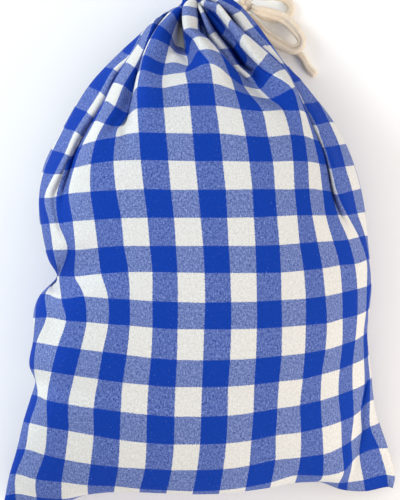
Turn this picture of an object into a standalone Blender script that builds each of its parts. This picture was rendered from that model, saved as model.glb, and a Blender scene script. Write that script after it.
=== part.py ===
"""A stuffed gingham drawstring bag that lies on its back, with a cotton cord tied at its neck.

Two hollow cloths make the bag: a front and a back, sewn together at the sides and along the bottom.
Both are worked out in the cloth's own measures: columns run across it and rows run up it, and one
column or row is one stripe of the gingham. Sizes in the tables are millimetres.
+X is across the bag, +Y points from the bottom to the neck and +Z is up. The origin is under the
middle of the bag, on the surface that it lies on.
"""

import math

import bmesh
import bpy
import numpy as np
from mathutils import Vector

MM = 0.001

# Driving sizes
STRIPE = 25.0
CLOTH_THICKNESS = 1.5
SEAM_GAP = 0.5
MOUTH_GAP = 1.6
MOUTH_ROW = 21.6
COLUMNS_ACROSS = 17.0
FIRST_ROW = 0.4
LAST_ROW = 25.4
REST_LEVEL = CLOTH_THICKNESS
CENTRE_X = -1.2
CENTRE_Y = -4.5

# How finely each cloth is divided
FRONT_DIVISIONS = (34, 42)
BACK_DIVISIONS = (26, 30)
ARC_STEPS = 60

# The bag's cross-sections, from the bottom seam up to the gathered mouth. Lengths are from the
# middle of the bag in plan; seam_z is the height of the side seams, crown is the front's rise above
# them and belly is the back's drop below them before the surface stops it. The powers say how boxy
# each side of the section is.
SECTION_COLUMNS = (
    "row", "left_x", "right_x", "peak_x", "left_y", "right_y", "bulge_y",
    "seam_z", "crown", "belly", "left_power", "right_power",
)
SECTIONS = (
    (0.4, -186, 182, 0, -248, -225, 14, 11, 0, 0, 2.4, 2.2),
    (1.0, -183, 183, 0, -233, -218, -3, 13, 20, 9, 2.4, 2.2),
    (2.0, -179, 182, -2, -213, -205, -18, 18, 45, 20, 2.6, 2.2),
    (3.0, -172, 175, -4, -189, -183, -22, 27, 61, 32, 2.8, 2.1),
    (4.0, -166, 166, -6, -163, -156, -23, 35, 74, 43, 3.0, 2.1),
    (5.0, -161, 162, -8, -137, -132, -21, 41, 83, 50, 3.2, 2.1),
    (7.0, -157, 157, -9, -88, -81, -18, 47, 95, 56, 3.3, 2.1),
    (9.0, -150, 161, -8, -43, -33, -11, 49, 100, 58, 3.0, 2.1),
    (9.8, -134, 160, -6, -25, -15, -7, 49, 101, 58, 2.8, 2.1),
    (10.6, -142, 158, -6, -9, 4, -4, 49, 101, 58, 2.9, 2.1),
    (12.0, -150, 155, -4, 24, 36, 0, 49, 99, 57, 2.9, 2.1),
    (14.0, -148, 145, -2, 74, 79, 6, 47, 92, 55, 2.6, 2.1),
    (16.0, -128, 127, 0, 116, 118, 16, 44, 79, 50, 2.3, 2.1),
    (18.0, -104, 97, 0, 155, 157, 18, 40, 60, 42, 2.1, 2.1),
    (20.0, -73, 70, 2, 188, 189, 11, 36, 42, 33, 2.1, 2.1),
    (22.0, -45, 48, 5, 212, 214, 8, 32, 29, 23, 2.1, 2.1),
    (23.2, -29, 34, 6, 225, 226, 6, 30, 24, 20, 2.1, 2.1),
    (24.0, -18, 27, 6, 233, 234, 4, 29, 21, 19, 2.1, 2.1),
    (24.5, -14, 23, 6, 238, 238, 1, 29, 17, 17, 2.1, 2.1),
    (25.0, -4, 17, 6, 237, 237, 0, 29, 10, 10, 2.1, 2.1),
    (25.4, -1, 14, 6, 232, 232, 0, 29, 7, 7, 2.1, 2.1),
)
BOW_POWER = 2.4

# The bottom seam rises between its two corners, and its edge is nipped in near the right one.
SEAM_ARCH = 16.0
SEAM_ARCH_ROWS = 2.6
NIP_HEIGHT = 9.0
NIP_COLUMN = 4.6
NIP_WIDTH = 1.5
NIP_ROWS = 2.4

# Folds, each a straight line on the cloth from one column and row to another. A depth is a share of
# one stripe, below zero for a trough and above it for a ridge, and a half-width is in stripes.
FOLD_COLUMNS = ("column_a", "row_a", "column_b", "row_b", "depth", "half_width")
FRONT_FOLDS = (
    (-7.0, 27, -7.1, 13.5, 0.26, 0.9),
    (-5.9, 27, -6.2, 12.5, -0.32, 0.8),
    (-4.8, 27, -5.0, 14.5, 0.34, 1.0),
    (-3.5, 27, -4.1, 15.0, -0.45, 0.9),
    (-2.3, 27, -2.5, 17.0, 0.38, 0.9),
    (-1.1, 27, -0.9, 17.6, -0.48, 0.8),
    (-0.1, 27, 0.5, 17.2, 0.34, 0.8),
    (1.0, 27, 1.9, 17.0, -0.48, 0.8),
    (2.0, 27, 3.2, 15.5, 0.36, 0.9),
    (3.0, 27, 4.2, 13.5, -0.36, 0.8),
    (4.1, 27, 5.2, 14.0, 0.34, 1.0),
    (5.4, 27, 6.2, 10.5, -0.34, 0.8),
    (6.7, 27, 7.0, 13.0, 0.28, 0.9),
    (-8.6, 9.7, -5.2, 10.4, -0.30, 1.2),
    (-6.6, 12.6, -5.6, 8.2, 0.14, 1.4),
    (8.6, 4.6, 6.1, 0.6, -0.26, 1.1),
    (-7.7, 5.6, -7.6, 2.6, -0.12, 0.9),
)
BACK_FOLDS = (
    (-6.8, 27, -7.0, 14.0, 0.28, 1.1),
    (-5.2, 27, -5.6, 13.0, -0.36, 1.1),
    (-3.5, 27, -3.8, 15.0, 0.34, 1.1),
    (-1.8, 27, -1.9, 16.5, -0.40, 1.1),
    (0.0, 27, 0.3, 15.5, 0.36, 1.1),
    (1.8, 27, 2.2, 16.0, -0.40, 1.1),
    (3.5, 27, 3.9, 14.5, 0.34, 1.1),
    (5.2, 27, 5.7, 13.0, -0.34, 1.1),
    (6.8, 27, 7.0, 14.0, 0.28, 1.1),
)
FOLD_TAPER = 2.4
SEAM_CALM = 1.5
HEM_CALM = 1.6

# The cord: a soft tube that leaves the knot beside the neck in two loops and one free end.
CORD_DIAMETER = 8.0
KNOT_CENTRE = (41.2, 234.2, 28.0)
KNOT_RADIUS = 8.5
CORD_GAP = 0.9
CORD_STEP = 6.5
CORD_SIDES_RESOLUTION = 2
KNOT_SEGMENTS = (20, 12)

# Where each strand leaves the knot, as an angle round it and an angle up from the surface, and the
# points that it passes on its way: across and down the photograph's 400 by 500 frame, and the
# height above the surface in millimetres. The free end comes out from under the neck instead.
STRANDS = {
    "cord_loop_upper": {
        "leaves": (38, 20),
        "returns": (-15, -42),
        "route": (
            (262.0, -3.5, 23.0), (273.0, -3.5, 13.0), (281.5, -2.2, 7.0), (287.5, 1.0, 4.6),
            (290.8, 6.6, 4.3), (290.0, 12.6, 4.3), (285.0, 17.0, 4.3), (277.0, 18.9, 4.3),
            (268.5, 18.2, 4.8), (261.0, 15.0, 8.4),
        ),
    },
    "cord_loop_lower": {
        "leaves": (-25, 12),
        "returns": (-90, -42),
        "route": (
            (260.0, 11.0, 27.6), (267.0, 12.8, 22.0), (275.0, 14.9, 16.8), (283.5, 18.7, 13.6),
            (290.5, 24.4, 12.9), (296.3, 31.0, 12.9), (300.6, 37.4, 12.9), (301.4, 43.4, 12.9),
            (297.8, 48.2, 12.9), (292.0, 49.4, 12.9), (285.5, 47.0, 12.9), (277.5, 42.8, 12.9),
            (269.5, 38.0, 12.9), (262.0, 32.2, 12.9), (255.5, 25.4, 12.6), (249.6, 18.8, 14.0),
        ),
    },
    "cord_end": {
        "leaves": None,
        "returns": None,
        "route": (
            (236.0, 29.2, 7.5), (243.8, 30.4, 5.4), (252.0, 31.4, 4.3), (262.0, 35.0, 4.3),
            (271.0, 40.2, 4.3), (280.0, 45.2, 4.3), (288.5, 49.4, 4.3), (294.8, 51.2, 4.3),
            (300.2, 54.6, 4.3), (304.4, 60.6, 4.3), (308.2, 67.8, 4.3), (315.6, 75.6, 4.3),
        ),
    },
}

# How the photograph sees the bag: straight down, from far above it
PICTURE_MM_PER_PIXEL = 0.947
PICTURE_MIDDLE = (200.0, 250.0)
SEAM_LEVEL = 50.0
CAMERA_HEIGHT = 3200.0

# Colours, as linear values
ROYAL_BLUE = (0.030, 0.110, 0.480, 1.0)
CHAMBRAY = (0.130, 0.210, 0.520, 1.0)
COTTON = (0.720, 0.640, 0.530, 1.0)


def clear_scene():
    for item in list(bpy.data.objects):
        bpy.data.objects.remove(item, do_unlink=True)


def make_material(name, colour, roughness):
    material = bpy.data.materials.new(name)
    material.use_nodes = True
    shader = material.node_tree.nodes["Principled BSDF"]
    shader.inputs["Base Color"].default_value = colour
    shader.inputs["Roughness"].default_value = roughness
    shader.inputs["Metallic"].default_value = 0.0
    return material


def smooth_step(value):
    value = np.clip(value, 0.0, 1.0)
    return value * value * (3.0 - 2.0 * value)


def section_value(name, rows):
    """One column of the section table, read as a smooth curve at the given rows."""
    table = np.array(SECTIONS, dtype=float)
    knots = table[:, 0]
    values = table[:, SECTION_COLUMNS.index(name)]
    slopes = np.gradient(values, knots)
    place = np.clip(np.searchsorted(knots, rows, side="right") - 1, 0, len(knots) - 2)
    span = knots[place + 1] - knots[place]
    share = (rows - knots[place]) / span
    rise_0 = slopes[place] * span
    rise_1 = slopes[place + 1] * span
    step = values[place + 1] - values[place]
    start = values[place] + share * rise_0
    return start + share**2 * (3 * step - 2 * rise_0 - rise_1) + share**3 * (rise_0 + rise_1 - 2 * step)


def half_arch(width, height, power):
    """A quarter of a superellipse, from its foot out at the side to its top."""
    angle = np.linspace(0.0, math.pi / 2, ARC_STEPS + 1)
    return width * np.cos(angle) ** (2 / power), height * np.sin(angle) ** (2 / power)


def section_curve(section, height, shares):
    """The x, the height and the length of one cross-section, at shares of its own length."""
    left_x, left_z = half_arch(section["peak_x"] - section["left_x"], height, section["left_power"])
    right_x, right_z = half_arch(section["right_x"] - section["peak_x"], height, section["right_power"])
    x = np.concatenate([section["peak_x"] - left_x, section["peak_x"] + right_x[::-1][1:]])
    z = np.concatenate([left_z, right_z[::-1][1:]])
    along = np.concatenate([[0.0], np.cumsum(np.hypot(np.diff(x), np.diff(z)))])
    wanted = shares * along[-1]
    return np.interp(wanted, along, x), np.interp(wanted, along, z), along[-1]


def fold_depth(folds, column, row):
    """The sum of the folds at each place on the cloth, in stripes."""
    total = np.zeros(np.broadcast(column, row).shape)
    for fold in folds:
        f = dict(zip(FOLD_COLUMNS, fold))
        run = np.array([f["column_b"] - f["column_a"], f["row_b"] - f["row_a"]])
        length = np.hypot(*run)
        ahead = ((column - f["column_a"]) * run[0] + (row - f["row_a"]) * run[1]) / length
        aside = ((column - f["column_a"]) * run[1] - (row - f["row_a"]) * run[0]) / length
        across = np.where(np.abs(aside) < f["half_width"], 0.5 + 0.5 * np.cos(math.pi * aside / f["half_width"]), 0)
        ends = smooth_step(ahead / FOLD_TAPER + 0.5) * smooth_step((length - ahead) / FOLD_TAPER + 0.5)
        total = total + f["depth"] * across * ends
    return total


def cloth_points(divisions, side, folds):
    """The points of one cloth as a grid of rows and columns; side is 1 for the front, -1 for the back."""
    across, along = divisions
    shares = np.linspace(0.0, 1.0, across + 1)
    rows = np.linspace(FIRST_ROW, LAST_ROW, along + 1)
    spread = 2.0 * shares - 1.0
    column = spread * COLUMNS_ACROSS / 2
    values = {name: section_value(name, rows) for name in SECTION_COLUMNS[1:]}
    points = np.zeros((along + 1, across + 1, 3))
    calm = smooth_step((COLUMNS_ACROSS / 2 - np.abs(column)) / SEAM_CALM)
    for j, row in enumerate(rows):
        section = {name: values[name][j] for name in values}
        depth = max(section["crown"] if side > 0 else section["belly"], 0.0)
        x, z, length = section_curve(section, depth, shares)
        z = side * z
        tangent_x = np.gradient(x)
        tangent_z = np.gradient(z)
        size = np.hypot(tangent_x, tangent_z)
        still = calm * smooth_step((row - FIRST_ROW) / HEM_CALM)
        push = fold_depth(folds, column, row) * still * min(STRIPE, length / COLUMNS_ACROSS)
        x = x - side * push * tangent_z / size
        z = z + side * push * tangent_x / size
        low = smooth_step((row - FIRST_ROW) / SEAM_ARCH_ROWS)
        arch = SEAM_ARCH * (1.0 - spread**2) * (1.0 - low)
        bow = 1.0 - np.abs(spread) ** BOW_POWER
        bulge = section["bulge_y"] if side > 0 else SECTIONS[0][SECTION_COLUMNS.index("bulge_y")] * (1.0 - low)
        nip_fade = 1.0 - smooth_step((row - FIRST_ROW) / NIP_ROWS)
        nip = NIP_HEIGHT * nip_fade * np.exp(-(((column - NIP_COLUMN) / NIP_WIDTH) ** 2))
        y = section["left_y"] + (section["right_y"] - section["left_y"]) * shares + bulge * bow + nip
        gap = SEAM_GAP + (MOUTH_GAP - SEAM_GAP) * smooth_step(row - MOUTH_ROW)
        z = section["seam_z"] + arch + z + side * gap / 2
        if side < 0:
            z = np.maximum(z, REST_LEVEL)
        points[j, :, 0] = x - CENTRE_X
        points[j, :, 1] = y - CENTRE_Y
        points[j, :, 2] = z
    return points


def make_cloth(name, divisions, side, folds, material, collection):
    """One cloth: a grid laid over the worked-out points and given its thickness outwards."""
    across, along = divisions
    points = cloth_points(divisions, side, folds)
    mesh = bpy.data.meshes.new(name)
    sheet = bmesh.new()
    bmesh.ops.create_grid(sheet, x_segments=across, y_segments=along, size=1.0)
    for vertex in sheet.verts:
        i = round((vertex.co.x + 1.0) / 2.0 * across)
        j = round((vertex.co.y + 1.0) / 2.0 * along)
        vertex.co = Vector(points[j, i]) * MM
    if side < 0:
        bmesh.ops.reverse_faces(sheet, faces=sheet.faces[:])
    sheet.to_mesh(mesh)
    sheet.free()
    cloth = bpy.data.objects.new(name, mesh)
    collection.objects.link(cloth)
    cloth.data.materials.append(material)
    mesh.shade_smooth()
    thickness = cloth.modifiers.new("thickness", "SOLIDIFY")
    thickness.thickness = CLOTH_THICKNESS * MM
    thickness.offset = 1.0
    return cloth


def knot_point(angles, distance):
    """A point at a distance from the knot's centre, in a direction given by two angles in degrees."""
    turn, lift = (math.radians(angle) for angle in angles)
    way = Vector((math.cos(lift) * math.cos(turn), math.cos(lift) * math.sin(turn), math.sin(lift)))
    return Vector(KNOT_CENTRE) + way * distance


def picture_place(across, down, height):
    """The place in the part that is seen at a point of the picture, at a height above the surface."""
    nearer = (CAMERA_HEIGHT - height) / (CAMERA_HEIGHT - SEAM_LEVEL)
    x = (across - PICTURE_MIDDLE[0]) * PICTURE_MM_PER_PIXEL * nearer
    y = (PICTURE_MIDDLE[1] - down) * PICTURE_MM_PER_PIXEL * nearer
    return Vector((x, y, height))


def strand_route(strand):
    """All the points that a strand passes: a loop's run from the knot and back to it."""
    start = KNOT_RADIUS + CORD_GAP
    route = [picture_place(*point) for point in strand["route"]]
    if strand["leaves"]:
        route.insert(0, knot_point(strand["leaves"], start + CORD_DIAMETER / 2))
        route.insert(0, knot_point(strand["leaves"], start))
    if strand["returns"]:
        route.append(knot_point(strand["returns"], start + CORD_DIAMETER / 2))
        route.append(knot_point(strand["returns"], start))
    return route


def smooth_route(route):
    """Points at even steps along one smooth curve through the route's own points."""
    ends = [2 * route[0] - route[1]] + route + [2 * route[-1] - route[-2]]
    fine = []
    steps = 12
    for k in range(1, len(ends) - 2):
        a, b, c, d = ends[k - 1:k + 3]
        for step in range(steps):
            t = step / steps
            fine.append(
                0.5 * (2 * b + (c - a) * t + (2 * a - 5 * b + 4 * c - d) * t**2 + (3 * b - a - 3 * c + d) * t**3)
            )
    fine.append(route[-1])
    fine = np.array([tuple(point) for point in fine])
    along = np.concatenate([[0.0], np.cumsum(np.linalg.norm(np.diff(fine, axis=0), axis=1))])
    even = np.linspace(0.0, along[-1], round(along[-1] / CORD_STEP) + 1)
    return [Vector([np.interp(length, along, fine[:, k]) for k in range(3)]) for length in even]


def make_strand(name, strand, material, collection):
    """One strand of the cord, as a round tube with filled ends."""
    curve = bpy.data.curves.new(name, "CURVE")
    curve.dimensions = "3D"
    curve.bevel_depth = CORD_DIAMETER / 2 * MM
    curve.bevel_resolution = CORD_SIDES_RESOLUTION
    curve.use_fill_caps = True
    line = curve.splines.new("POLY")
    points = smooth_route(strand_route(strand))
    line.points.add(len(points) - 1)
    for place, point in zip(line.points, points):
        moved = (point - Vector((CENTRE_X, CENTRE_Y, 0.0))) * MM
        place.co = (*moved, 1.0)
    cord = bpy.data.objects.new(name, curve)
    collection.objects.link(cord)
    curve.materials.append(material)
    return cord


def make_knot(material, collection):
    """The knot: a ball that the strands meet, pressed a little towards the neck."""
    bpy.ops.mesh.primitive_uv_sphere_add(
        segments=KNOT_SEGMENTS[0], ring_count=KNOT_SEGMENTS[1], radius=KNOT_RADIUS * MM
    )
    knot = bpy.context.object
    knot.name = "cord_knot"
    knot.data.name = "cord_knot"
    knot.location = (Vector(KNOT_CENTRE) - Vector((CENTRE_X, CENTRE_Y, 0.0))) * MM
    for owner in list(knot.users_collection):
        owner.objects.unlink(knot)
    collection.objects.link(knot)
    knot.data.materials.append(material)
    knot.data.shade_smooth()
    return knot


def main():
    clear_scene()
    bag = bpy.data.collections.new("gingham_drawstring_bag")
    bpy.context.scene.collection.children.link(bag)
    gingham = make_material("gingham_front", ROYAL_BLUE, 0.85)
    gingham_back = make_material("gingham_back", CHAMBRAY, 0.85)
    cotton = make_material("cotton_cord", COTTON, 0.9)
    make_cloth("front_panel", FRONT_DIVISIONS, 1, FRONT_FOLDS, gingham, bag)
    make_cloth("back_panel", BACK_DIVISIONS, -1, BACK_FOLDS, gingham_back, bag)
    make_knot(cotton, bag)
    for name, strand in STRANDS.items():
        make_strand(name, strand, cotton, bag)


main()
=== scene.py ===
"""The looks of a stuffed gingham drawstring bag that lies on its back, with its cotton cord tied.

The two cloths are laid out again in finer steps than the solids have, with every crease that shows.
Columns run across the cloth and rows run up it, and one of either is one stripe of the gingham.
Sizes in the tables are millimetres.
"""

import math

import bmesh
import bpy
import numpy as np
from mathutils import Euler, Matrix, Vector, noise


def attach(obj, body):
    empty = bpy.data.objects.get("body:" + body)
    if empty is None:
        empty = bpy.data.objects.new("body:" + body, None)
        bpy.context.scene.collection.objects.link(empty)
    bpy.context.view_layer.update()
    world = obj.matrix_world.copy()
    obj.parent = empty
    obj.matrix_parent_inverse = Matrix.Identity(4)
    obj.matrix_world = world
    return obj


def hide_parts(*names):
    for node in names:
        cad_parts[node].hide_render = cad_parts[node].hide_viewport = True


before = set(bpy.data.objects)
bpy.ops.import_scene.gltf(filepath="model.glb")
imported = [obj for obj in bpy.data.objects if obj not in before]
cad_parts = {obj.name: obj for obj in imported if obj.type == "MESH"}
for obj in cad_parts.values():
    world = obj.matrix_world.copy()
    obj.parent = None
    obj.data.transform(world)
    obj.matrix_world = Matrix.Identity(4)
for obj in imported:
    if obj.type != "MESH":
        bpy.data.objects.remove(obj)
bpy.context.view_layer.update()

MM = 0.001

# Driving sizes
STRIPE = 25.0
CLOTH_THICKNESS = 1.5
SEAM_GAP = 0.5
COLUMNS_ACROSS = 17.0
FIRST_COLUMN = -0.6
FIRST_ROW = 0.4
LAST_ROW = 25.4
REST_LEVEL = CLOTH_THICKNESS
CENTRE_X = -1.2
CENTRE_Y = -4.5

FRONT_DIVISIONS = (196, 246)
BACK_DIVISIONS = (136, 170)
ARC_STEPS = 90

# Down the front's side walls a stripe takes this much of the cross-section's own length.
SIDE_STRIPE = 30.0
WHOLE_STRIPES = 17

# The cloth's UV map: stripes left free before its first one, and how many it spans either way. A
# cord's map spans its girth one way and this many millimetres the other.
CLOTH_UV_EDGE = 3.0
CLOTH_UV_SPAN = 32.0
CORD_MAP_LENGTH = 400.0

# The bag's cross-sections, from the bottom seam up to the gathered mouth, as in the solids, with
# the small nip in the left side, at row 5.5, besides.
SECTION_COLUMNS = (
    "row", "left_x", "right_x", "peak_x", "left_y", "right_y", "bulge_y",
    "seam_z", "crown", "belly", "left_power", "right_power",
)
SECTIONS = (
    (0.4, -186, 182, 0, -248, -225, 14, 11, 0, 0, 2.4, 2.2),
    (1.0, -183, 183, 0, -233, -218, -3, 13, 20, 9, 2.4, 2.2),
    (2.0, -179, 182, -2, -213, -205, -18, 18, 45, 20, 2.6, 2.2),
    (3.0, -172, 175, -4, -189, -183, -22, 27, 61, 32, 2.8, 2.1),
    (4.0, -166, 166, -6, -163, -156, -23, 35, 74, 43, 3.0, 2.1),
    (5.0, -158, 162, -8, -137, -132, -21, 41, 83, 50, 3.2, 2.1),
    (5.5, -154.5, 161, -8.3, -124.5, -119, -20, 42.5, 86, 51.5, 3.2, 2.1),
    (6.1, -160, 159, -8.6, -110, -104, -19, 45, 90.5, 54, 3.25, 2.1),
    (7.0, -157, 157, -9, -88, -81, -18, 47, 95, 56, 3.3, 2.1),
    (9.0, -150, 161, -8, -43, -33, -11, 49, 100, 58, 3.0, 2.1),
    (9.8, -134, 160, -6, -25, -15, -7, 49, 101, 58, 2.8, 2.1),
    (10.6, -142, 158, -6, -9, 4, -4, 49, 101, 58, 2.9, 2.1),
    (12.0, -150, 155, -4, 24, 36, 0, 49, 99, 57, 2.9, 2.1),
    (14.0, -148, 145, -2, 74, 79, 6, 47, 92, 55, 2.6, 2.1),
    (16.0, -128, 127, 0, 116, 118, 16, 44, 79, 50, 2.3, 2.1),
    (18.0, -104, 97, 0, 155, 157, 18, 40, 60, 42, 2.1, 2.1),
    (20.0, -73, 70, 2, 188, 189, 11, 36, 42, 33, 2.1, 2.1),
    (22.0, -45, 48, 5, 212, 214, 8, 32, 29, 23, 2.1, 2.1),
    (23.2, -29, 34, 6, 225, 226, 6, 30, 24, 20, 2.1, 2.1),
    (24.0, -18, 27, 6, 233, 234, 4, 29, 21, 19, 2.1, 2.1),
    (24.5, -14, 23, 6, 238, 238, 1, 29, 17, 17, 2.1, 2.1),
    (25.0, -4, 17, 6, 237, 237, 0, 29, 10, 10, 2.1, 2.1),
    (25.4, -1, 14, 6, 232, 232, 0, 29, 7, 7, 2.1, 2.1),
)
BOW_POWER = 2.4

SEAM_ARCH = 16.0
SEAM_ARCH_ROWS = 2.6
NIP_HEIGHT = 9.0
NIP_COLUMN = 4.6
NIP_WIDTH = 1.5
NIP_ROWS = 2.4

# The right seam of the front is drawn up against its rows, by this many rows.
SEAM_SHIFT_ROWS = (0.4, 1, 2, 3, 4, 5, 7, 9, 12, 16, 20, 22, 25.4)
SEAM_SHIFTS = (0.0, 0.35, 0.8, 0.72, 0.6, 0.43, 0.17, 0.05, 0.0, 0.1, 0.2, 0.3, 0.0)

# Where the front's gingham lies, read off the photograph in its 400 by 500 frame: for each
# row of the cloth, how far across and how far down the edge of each whole stripe lies, from
# stripe 0 on the left to stripe 16 on the right.
FRONT_LAY = (
    (0.4,
     (17, 38, 62, 88, 114, 139, 165, 191, 217, 243, 268, 293, 318, 338, 347, 365, 388),
     (505, 505, 502, 492, 487, 485, 484, 484, 484, 484, 482, 478, 480, 487, 489, 490, 486)),
    (1,
     (16, 37, 62, 88, 114, 139.5, 166, 192, 218, 244, 269, 294, 318, 339, 347.5, 363, 386),
     (493, 496, 497.5, 493, 490.5, 490, 490.5, 491, 491, 489, 486, 481.5, 480, 481.5, 481, 479, 474)),
    (2,
     (17, 36.5, 62, 88, 115, 140, 167, 193, 219.5, 245.5, 271, 297, 322.5, 343, 351, 359, 378),
     (473.5, 478.5, 481, 484, 485, 487.5, 489, 490, 489, 486, 481, 474, 474.5, 470, 461, 454, 448)),
    (3,
     (26.5, 45, 65.5, 91, 118.5, 145, 171.5, 197, 223, 249, 275, 300, 323, 341, 350, 361, 369),
     (449, 454, 458.5, 463, 466, 467.5, 469, 469, 468, 464.5, 459, 456.5, 453.5, 446, 440.5, 432, 426.5)),
    (4,
     (31, 48, 69, 94, 120, 146.5, 174, 200, 226, 251, 275.5, 300.5, 321.5, 340, 352.5, 359.5, 368.5),
     (423, 426.5, 430, 434.5, 439, 442, 443.5, 443.5, 442.5, 439.5, 434.5, 431.5, 427, 421, 415.5, 410, 401)),
    (5,
     (39, 48, 69, 94, 121, 147, 174.5, 201, 227.5, 253, 277, 299.5, 320, 337.5, 351.5, 363, 368.5),
     (396, 400, 404, 407.5, 411, 414, 416, 416, 415, 412, 408, 404.5, 400, 394.5, 389.5, 384, 379)),
    (6,
     (35.5, 52.5, 75, 98.5, 123, 148.5, 175.5, 202, 228, 254, 278.5, 302, 321, 338.5, 351.5, 362.5, 366.5),
     (368.5, 371.5, 375, 378.5, 382, 384.5, 386.5, 386.5, 386, 384, 381, 378.5, 374, 369, 364, 359, 356)),
    (7,
     (38, 59, 81.5, 103, 127, 151, 177, 203, 230, 255.5, 281, 304, 324.5, 341, 354, 362, 366.5),
     (342.5, 346, 349, 351.5, 354.5, 357.5, 359.5, 360, 359.5, 358, 355.5, 353, 349.5, 344.5, 340, 335, 331.5)),
    (8,
     (47.5, 67, 87, 108.5, 130, 152.5, 177.5, 204, 231, 256.5, 281.5, 305, 326, 341.5, 356, 364.5, 367),
     (317.5, 320.5, 322, 324, 325.5, 327.5, 329, 329, 329, 328.5, 327, 325, 323, 318.5, 315, 311, 309)),
    (9,
     (46.5, 62.5, 85, 108.5, 130, 152.5, 178, 205, 231, 256.5, 281, 305, 324.5, 341, 356, 365.5, 369.5),
     (295, 299.5, 297, 298.5, 299.5, 301, 302, 302.5, 302, 301.5, 300, 298.5, 296, 292.5, 289, 286, 283.5)),
    (10,
     (58.5, 61, 76, 102, 129, 152.5, 177.5, 204.5, 230, 256, 280.5, 303, 321.5, 338.5, 353.5, 365, 367.5),
     (275.5, 276, 276.5, 274, 272, 272, 272.5, 273, 273, 273, 272.5, 270.5, 268.5, 265.5, 264, 260, 259)),
    (11,
     (54.5, 68, 76.5, 98.5, 124.5, 150, 176, 203, 228.5, 255, 279, 299, 316.5, 332, 347, 357.5, 363.5),
     (249.5, 249, 249.5, 247.5, 246, 246, 246, 246, 246, 246, 245, 243.5, 242, 241, 239.5, 237, 236)),
    (12,
     (51, 59.5, 74, 95, 121.5, 147.5, 174, 200.5, 227, 253.5, 276.5, 296.5, 311.5, 325, 336.5, 346.5, 356),
     (223.5, 223.5, 221.5, 220, 218.5, 218, 218, 218, 218, 217.5, 216.5, 215.5, 215.5, 215.5, 215.5, 215, 213.5)),
    (13,
     (46, 57.5, 70, 91, 116.5, 144, 171, 198, 225.5, 252, 274.5, 294, 308.5, 321.5, 330.5, 338, 351),
     (198, 197, 194, 192, 190.5, 189.5, 190, 190, 190, 189.5, 189.5, 189.5, 189, 190.5, 192, 194, 191)),
    (14,
     (55.5, 65, 75.5, 91.5, 114, 141, 168.5, 195, 222.5, 249, 272.5, 292.5, 307, 318, 327, 332, 344),
     (175, 170.5, 168.5, 164.5, 161.5, 160.5, 161, 161.5, 161.5, 162, 162, 161.5, 162, 164, 166, 168.5, 167)),
    (15,
     (66, 71, 83.5, 96.5, 116, 139.5, 166, 192.5, 219.5, 245.5, 267.5, 289.5, 303.5, 312.5, 320, 325, 338),
     (154.5, 156.5, 146, 141.5, 138, 133, 133.5, 134, 134, 136.5, 137.5, 135.5, 136.5, 140, 143, 147.5, 145.5)),
    (16,
     (76, 82, 96, 104.5, 119, 138.5, 163.5, 190, 216, 240, 262, 282, 298.5, 304, 309, 316, 328),
     (132, 136, 122, 124.5, 127, 109, 108.5, 106.5, 106.5, 110, 112, 111, 111, 113, 120, 125.5, 123)),
    (17,
     (88, 95, 106, 115, 127.5, 138.5, 162, 187.5, 213, 234, 250, 269.5, 291.5, 294.5, 298, 304, 316.5),
     (113, 118, 102, 107, 113, 88, 89, 84.5, 84.5, 91, 96.5, 99.5, 89, 88.5, 96, 104.5, 102)),
    (18,
     (101, 107, 114.5, 123.5, 132.5, 141.5, 162.5, 185.5, 210, 229.5, 243, 260, 273.5, 284, 288, 293.5, 300),
     (92.5, 98, 84, 86.5, 93, 71, 76.5, 73.5, 64, 78, 87, 89.5, 75, 70.5, 76, 83, 81)),
    (19,
     (114.5, 119, 126.5, 134.5, 139.5, 145, 164.5, 188, 201, 219, 236, 250, 259.5, 267.5, 275, 282.5, 288.5),
     (70, 74, 63.5, 68, 72, 56, 64.5, 67, 50, 54, 72, 77, 64.5, 54.5, 60, 64.5, 66)),
    (20,
     (130, 134, 138.5, 143.5, 147, 152, 168, 187.5, 194, 206.5, 224, 237.5, 241, 247.5, 258.5, 268.5, 271.5),
     (56, 58, 45.5, 50, 49, 39.5, 46.5, 57, 38.5, 39.5, 57, 66, 44.5, 37, 45.5, 46, 46.5)),
    (21,
     (141.5, 143, 146, 153.5, 158.5, 160, 170.5, 186.5, 185.5, 197, 211, 227, 229.5, 232.5, 242.3, 252.6, 257),
     (36, 38, 31, 24, 26, 26, 36.5, 49.5, 30, 30.5, 46, 49.5, 28, 23, 31.3, 27.7, 26.5)),
    (22,
     (150, 152, 156, 161, 165, 172, 176, 184, 183.5, 196.5, 208, 214.5, 217.3, 219.5, 231.6, 239.6, 241.5),
     (26, 27, 22, 17.5, 16, 13.5, 21, 27, 16.5, 18.5, 33.5, 32.5, 12.5, 10.5, 14.3, 12, 9)),
    (23,
     (161, 163, 166, 169, 172, 178, 183, 186.5, 184.5, 196, 201.5, 203.5, 204.5, 206.5, 216, 219, 225),
     (19, 18, 15.5, 12.5, 10.5, 8.5, 10, 12, 7, 8.5, 13, 12, 5.5, 3.5, 1.5, 0, -3)),
    (24,
     (178, 180, 182, 184, 185.5, 186.5, 187.5, 188.5, 190, 196, 198, 200, 202, 205, 211, 216, 221),
     (10, 9.5, 9, 8.5, 8, 7, 6, 5, 1, 1, 4, 4, 3, 1, -1, -2, -3)),
    (25.4,
     (200, 200.5, 201, 201.5, 202, 202.5, 203, 204, 205, 206, 207, 208, 209, 210, 211, 212, 213),
     (4, 4, 4, 4, 4, 4, 4, 3, 3, 3, 3, 3, 3, 3, 3, 3, 3)),
)

# Between two stripes the cloth bends or slips under a fold: where it is then, by stripe and row.
FRONT_BENDS = (
    (6.42, ((19.4, 174, 56), (20, 176, 54.5), (21, 173.5, 45.5), (22, 177.5, 22))),
    (11.86, ((20, 248, 57), (21, 236.5, 39.3), (22, 225, 27), (23, 208.5, 10))),
)

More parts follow.
